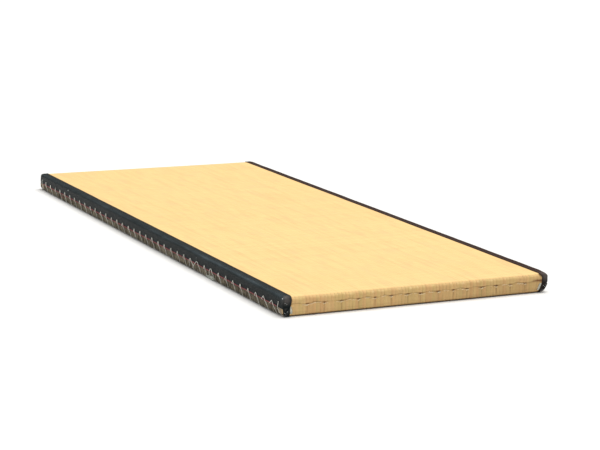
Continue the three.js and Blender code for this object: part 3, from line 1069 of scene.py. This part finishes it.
def straw_body(material):
    """The slab of pressed straw."""
    xs = both_ways([0, 120, 240, LEAN_FROM_X, *bent(FLAT_X, 3)])
    ys = both_ways([*np.linspace(0, 972, 122), *bent(FLAT_Y, 3)])
    zs = [*foot_heights(3), *np.linspace(END_FOOT_RADIUS, FLAT_Z, 15)[1:], *bent(FLAT_Z, 3)[1:]]
    patches = [face_patch(2, at, xs, ys) for at in (HEIGHT, 0)]
    patches += [face_patch(0, side * HALF_WIDTH, ys, zs) for side in SIDES.values()]
    patches += [face_patch(1, end * HALF_LENGTH, zs, xs) for end in ENDS.values()]
    points, quads = merged(patches)
    body = make_object("straw_body", placed(*points.T, core_lift(*points.T)), quads.tolist())
    return dressed(body, material, "straw", "straw_core")


def side_straws(material):
    """Short upright straws over both long sides, below the borders."""
    rng = np.random.default_rng(SEEDS["side_straws"])
    shares = np.linspace(-0.5, 0.5, 4)
    tubes, tones = [], []
    for side in SIDES.values():
        for y in np.sort(rng.uniform(-STRAW_END_Y, STRAW_END_Y, STRAW_COUNT)):
            foot = rng.uniform(0.8, 5.0)
            top = rng.uniform(18.5, 22.0)
            lean = rng.normal(0, 1.6)
            bow = rng.normal(0, 0.7)
            radius = rng.uniform(0.45, 0.95)
            lift = CORE_SIDE_LIFT + rng.uniform(0.1, 1.1)
            along = y + lean * shares + bow * (1 - 4 * shares**2)
            line = side_point(side, along, np.linspace(foot, top, 4), lift)
            tubes.append(tube(line, radius * np.array([0.8, 1.0, 1.0, 0.9]), 5))
            tones.append(rng.uniform(0, 1) ** 1.2)
    return strands("side_straws", tubes, tones, material, "straw")


def loose_bit(material):
    """A loose tuft of chaff at the bottom edge of the left side."""
    rng = np.random.default_rng(SEEDS["loose_bit"])
    tubes, tones = [], []
    for _ in range(TUFT_COUNT):
        start = rng.uniform(TUFT_NEAR_Y, TUFT_FAR_Y)
        length = rng.uniform(12, 26)
        lump = hump(start - TUFT_THICKEST_Y, 14)
        heights = rng.uniform(1.5, 7.0 + 4.0 * lump, 4)
        lifts = rng.uniform(-0.6, 2.0 + 1.6 * lump, 4)
        line = rounded_path(side_point(-1, start + np.linspace(0, length, 4), heights, lifts), 5)
        tubes.append(tube(line, rng.uniform(0.6, 1.1), 5))
        tones.append(rng.uniform(0.3, 1))
    return strands("loose_bit", tubes, tones, material, "straw")


# Sewing


def underneath(side, y):
    """How a twine goes on under the mat from the bottom edge at y."""
    low = WHIP_RADIUS * 1.1
    foot = side_point(side, y, 0.5, 0.2)[0]
    steps = [(0, 0.5, 0.25), (3.5, 1.5, 0), (11, 4, 0), (13.5, 5, 2.2)]
    return [np.array([foot - side * inwards, y - back, low + up]) for inwards, back, up in steps]


def whip_path(side, y, rng):
    """One whip stitch: out from under the hem, up to its top, down to the bottom edge and underneath."""
    corner = ramp(-y, 780, 900)
    back = rng.uniform(3.0, 5.5) + 7 * corner
    down = rng.uniform(15, 21) + 15 * corner
    top = WHIP_TOP_Z + rng.uniform(-1.6, 1.8)
    tip = rng.uniform(0.5, 1.2)
    rows = [
        (back, 19.0, -0.9),
        (back * 0.82, RED_Z, 2.6),
        (back * 0.35, mix(RED_Z, top, 0.62), 1.5),
        (tip, top - 0.6, 1.3),
        (0, top, 0.9),
        (-tip, top - 0.8, 1.3),
        (-down * 0.22, mix(RED_Z, top, 0.35), 1.8),
        (-down * 0.36, RED_Z - 1.0, 2.7),
        (-down * 0.66, 10.5, 0.9),
        (-down * 0.95, 2.6, 0.9),
    ]
    return [*side_path(side, y, rows), *underneath(side, y - down)]


def wide_path(side, y, back, down, top, foot, lift):
    """A stitch whose top is a round loop and whose first leg starts at the bottom edge."""
    rows = [
        (foot, 3.0, 0.6),
        (mix(back * 0.8, foot, 0.5), 12.0, lift),
        (back * 0.8, RED_Z, 2.7),
        (back * 0.45, top - 1.6, 1.6),
        (back * 0.1, top, 1.4),
        (-back * 0.2, top - 2.0, 1.5),
        (-down * 0.45, RED_Z - 1, 2.7),
        (-down * 0.75, 12.0, 0.9),
        (-down, 3.0, 0.8),
    ]
    return [*side_path(side, y, rows), *underneath(side, y - down)]


def last_whip_path(side, end):
    """The last stitch by a corner: one thick, curved upright thread."""
    rows = [
        (970, 36.5, -0.4),
        (973.5, 35.2, 1.4),
        (972.5, 29.0, 1.9),
        (971, RED_Z, 2.6),
        (974, 15.0, 1.7),
        (981, 8.0, 1.5),
        (988, 3.0, 1.4),
    ]
    return [*side_path(side, 0, rows * np.array([end, 1, 1])), *underneath(side, end * 989)]


def whip_tone(z):
    """Twine is nearly white at a stitch's top and greyer down by the straw."""
    return np.interp(z, [0, 12, RED_Z, WHIP_TOP_Z], [0.5, 0.8, 0.85, 1.0])


def whip_stitches(material):
    """The twine stitches that hold each border's hem, and the last one by each corner."""
    rng = np.random.default_rng(SEEDS["whip_stitches"])
    paths = []
    for side in SIDES.values():
        for number, y in enumerate(whip_places()):
            path = whip_path(side, y + rng.normal(0, 1.0), rng)
            if side < 0 and number in WIDE_LOOPS:
                path = wide_path(side, y, **WIDE_LOOPS[number])
            paths.append(path)
        paths += [last_whip_path(side, end) for end in ENDS.values()]
    tubes = [tube(rounded_path(path, 1.5), WHIP_RADIUS, 8, twist=5.0, ply=0.2) for path in paths]
    tones = [whip_tone(points[:, 2]) + rng.uniform(-0.15, 0.15) for points, _ in tubes]
    return strands("whip_stitches", tubes, tones, material, "straw")


def edge_stitches(material):
    """Slanted twine stitches along both bottom edges."""
    rng = np.random.default_rng(SEEDS["edge_stitches"])
    tubes, tones = [], []
    for side in SIDES.values():
        for y in np.arange(-EDGE_STITCH_END_Y, EDGE_STITCH_END_Y, EDGE_STITCH_PITCH) + rng.normal(0, 1.2):
            y += rng.normal(0, 1.5)
            long = rng.uniform(6, 9.5)
            top = rng.uniform(5.0, 8.0)
            rows = [(0, top, -1.4), (-long * 0.2, top - 0.8, -0.1), (-long * 0.8, 2.4, 0.0)]
            path = [*side_path(side, y, rows), *underneath(side, y - long)[:2]]
            tubes.append(tube(rounded_path(path, 2.0), EDGE_STITCH_RADIUS, 6))
            tones.append(rng.uniform(0.1, 0.9))
    return strands("edge_stitches", tubes, tones, material, "straw")


def red_thread(material):
    """A red cord along the lower edge of each border, held down by the whip stitches, and its loose end."""
    rng = np.random.default_rng(SEEDS["red_thread"])
    tubes = []
    for side in SIDES.values():
        y = np.arange(-RED_END_Y, RED_END_Y + 1, 4.0)
        held = hump(off_nearest(y, whip_places()), 8)
        height = RED_Z + 0.5 * noise_line(y, 45, 35 + side) - 0.3 * held
        line = side_point(side, y, height, 1.1 + 0.15 * noise_line(y, 12, 64))
        tubes.append(tube(line, RED_RADIUS, 8, twist=9.0, ply=0.12))
    tail = [(781, RED_Z, 1.2), (777, 17, 0.9), (768, 12.5, 0.7), (757, 11.5, 0.9), (745, 13.5, 0.6)]
    tubes.append(tube(rounded_path(side_path(-1, 0, tail), 2), RED_TAIL_RADIUS, 6))
    tones = rng.uniform(0.3, 0.8, len(tubes))
    return strands("red_thread", tubes, tones, material, "border_cloth")


def seam_stitch(x, end):
    """The twine of one seam stitch, which dips into the facing at both ends."""
    rows = [(-2.6, -5.4, -1.9), (-1.4, -4.2, 0.1), (1.2, -3.2, 0.2), (2.6, -1.2, -2.1)]
    across, above, lift = np.transpose(rows)
    path = placed(x + across, end * HALF_LENGTH, SEAM_Z + above, lift)
    return tube(rounded_path(path, 0.8), SEAM_TWINE_RADIUS, 6, twist=4.0, ply=0.15)


def frayed_bit(x, end, rng):
    """A bit of frayed rush that lies just below the seam's crease."""
    long = rng.uniform(3, 9)
    below = rng.uniform(1.8, 4.2)
    _, seam_z = seam_shape(x)
    t = np.array([-0.5, -0.2, 0.2, 0.5])
    path = placed(x + long * t, end * HALF_LENGTH, seam_z - below + 1.2 * t, 0.7 - 1.4 * np.abs(t))
    return tube(rounded_path(path, 1.5), rng.uniform(0.4, 0.65), 5)


def end_stitches(material):
    """The twine that shows in each stitch of the seams across the short ends, and frayed bits of rush."""
    rng = np.random.default_rng(SEEDS["end_stitches"])
    tubes, tones = [], []
    for end in ENDS.values():
        for x in STITCH_X:
            tubes.append(seam_stitch(x + rng.uniform(-0.6, 0.6), end))
            tones.append(rng.uniform(0.75, 1.0))
        for x in rng.uniform(-FRAYED_X, FRAYED_X, FRAYED_COUNT):
            tubes.append(frayed_bit(x, end, rng))
            tones.append(rng.uniform(0.6, 1.0))
    return strands("end_stitches", tubes, tones, material, "rush")


def underside_rows(material):
    """Rows of twine stitches that quilt the straw, seen from below."""
    rng = np.random.default_rng(SEEDS["underside_rows"])
    stitch = np.array([(0, -8, 2.4), (0, -6, 0.75), (0, 6, 0.75), (0, 8, 2.4)])
    tubes, tones = [], []
    for row_x in np.arange(-QUILT_X, QUILT_X + 1, QUILT_ROW_PITCH):
        for row_y in np.arange(-QUILT_Y, QUILT_Y + 1, QUILT_STITCH_PITCH):
            x = row_x + rng.normal(0, 0.8)
            y = row_y + rng.normal(0, 1.0)
            tubes.append(tube(stitch + [x, y, 0], QUILT_TWINE_RADIUS, 5))
            tones.append(rng.uniform(0.2, 0.8))
    return strands("underside_rows", tubes, tones, material, "straw")


# Paper and lint


def paper_piece(name, side_name, end, material):
    """The torn end of the paper backing beside a border on a short end."""
    side = SIDES[side_name]
    seed = 81 + side + 3 * end
    zs = np.linspace(PAPER_FOOT_Z, PAPER_TOP_Z, 20)
    z, share = np.meshgrid(zs, np.linspace(0, 1, 7), indexing="ij")
    y = np.full_like(z, end * HALF_LENGTH)
    outer_edge = inner_edge(np.full_like(z, side), y, z) - 0.4
    width = PAPER_WIDEST[side_name] - 3.0 * ramp(z, 16, PAPER_TOP_Z)
    torn = width + 1.2 * noise_sheet(z, seed, 2.2, 1, seed)
    x = side * (outer_edge - torn * (1 - share))
    curl = 0.9 * (1 - share) * ramp(noise_sheet(z, seed, 6, 1, seed + 5), -0.2, 0.8)
    lift = PAPER_LIFT + curl + 0.15 * noise_sheet(x, z, 2, 3, seed)
    quads = grid_quads(np.arange(z.size).reshape(z.shape))
    if side * end > 0:
        quads = quads[:, ::-1]
    front = placed(x, y, z, lift).reshape(-1, 3)
    back = placed(x, y, z, lift - PAPER_THICKNESS).reshape(-1, 3)
    paper = make_object(name + "_torn", np.concatenate([front, back]), closed(quads, z.size))
    return dressed(paper, material, "backing_paper", name)


def lint(material):
    """White specks of lint caught on the borders."""
    tubes = []
    for kind, place, z, radius in LINT_PLACES:
        lift = 0.6 if z > FOLD_TOP_Z else 2.2
        if kind == "side":
            path = [placed(-HALF_WIDTH, place + d, z + 0.4 * d, lift) for d in (-1.0, 0.0, 1.2)]
        else:
            path = [placed(place + d, -HALF_LENGTH, z - 0.6 * d, lift) for d in (-0.8, 0.0, 0.9)]
        tubes.append(tube(rounded_path(path, 0.6), radius, 6))
    return strands("lint", tubes, np.ones(len(tubes)), material, "border_cloth")


# Stage


def floor():
    """A wide plane that the mat lies on."""
    reach = FLOOR_REACH * MM
    corners = [(-reach, -reach, 0), (reach, -reach, 0), (reach, reach, 0), (-reach, reach, 0)]
    mesh = bpy.data.meshes.new("floor")
    mesh.from_pydata(corners, [], [(0, 1, 2, 3)])
    mesh.materials.append(floor_material())
    plane = new_object("floor", mesh)


def lights():
    """The world's even light and one sun."""
    world = bpy.data.worlds.new("studio")
    world.use_nodes = True
    background = world.node_tree.nodes["Background"]
    background.inputs["Color"].default_value = WORLD_COLOUR
    background.inputs["Strength"].default_value = WORLD_STRENGTH
    bpy.context.scene.world = world
    sun = bpy.data.lights.new("key", "SUN")
    sun.energy = SUN_STRENGTH
    sun.angle = math.radians(SUN_ANGLE)
    sun.color = SUN_COLOUR
    lamp = new_object("key", sun)
    lamp.rotation_euler = Vector(SUN_TOWARDS).to_track_quat("-Z", "Y").to_euler()


def camera():
    """The photo's view, turned by azimuth and pitch and then rolled."""
    data = bpy.data.cameras.new("camera")
    data.lens = CAMERA_LENS
    data.sensor_width = CAMERA_SENSOR
    data.clip_end = CAMERA_FAR
    azimuth, pitch, roll = (math.radians(turn) for turn in CAMERA_TURN)
    flat = math.cos(pitch)
    ahead = Vector((math.sin(azimuth) * flat, math.cos(azimuth) * flat, -math.sin(pitch)))
    level = Vector((math.cos(azimuth), -math.sin(azimuth), 0))
    upright = level.cross(ahead)
    right = level * math.cos(roll) + upright * math.sin(roll)
    up = upright * math.cos(roll) - level * math.sin(roll)
    matrix = Matrix((right, up, -ahead)).transposed().to_4x4()
    matrix.translation = CAMERA_PLACE
    view = new_object("camera", data)
    view.matrix_world = matrix
    bpy.context.scene.camera = view


camera()
lights()
floor()
bpy.context.scene.view_settings.view_transform = "Standard"

twine = fibre_material("twine", *TWINE)
cloth = border_material()
paper = paper_material()

straw_body(straw_material())
rush_weave(rush_material())
border_cloth("border_left_cloth", SIDES["left"], cloth)
border_cloth("border_right_cloth", SIDES["right"], cloth)
for end_name, end_sign in ENDS.items():
    for side_name in SIDES:
        paper_piece(f"paper_{end_name}_{side_name}", side_name, end_sign, paper)
side_straws(fibre_material("side_straw", *SIDE_STRAW))
loose_bit(fibre_material("chaff", *CHAFF))
edge_stitches(fibre_material("edge_twine", *EDGE_TWINE))
whip_stitches(twine)
red_thread(fibre_material("red_cotton", *RED_COTTON))
end_stitches(fibre_material("seam_twine", *SEAM_TWINE))
underside_rows(twine)
lint(fibre_material("lint", *LINT))
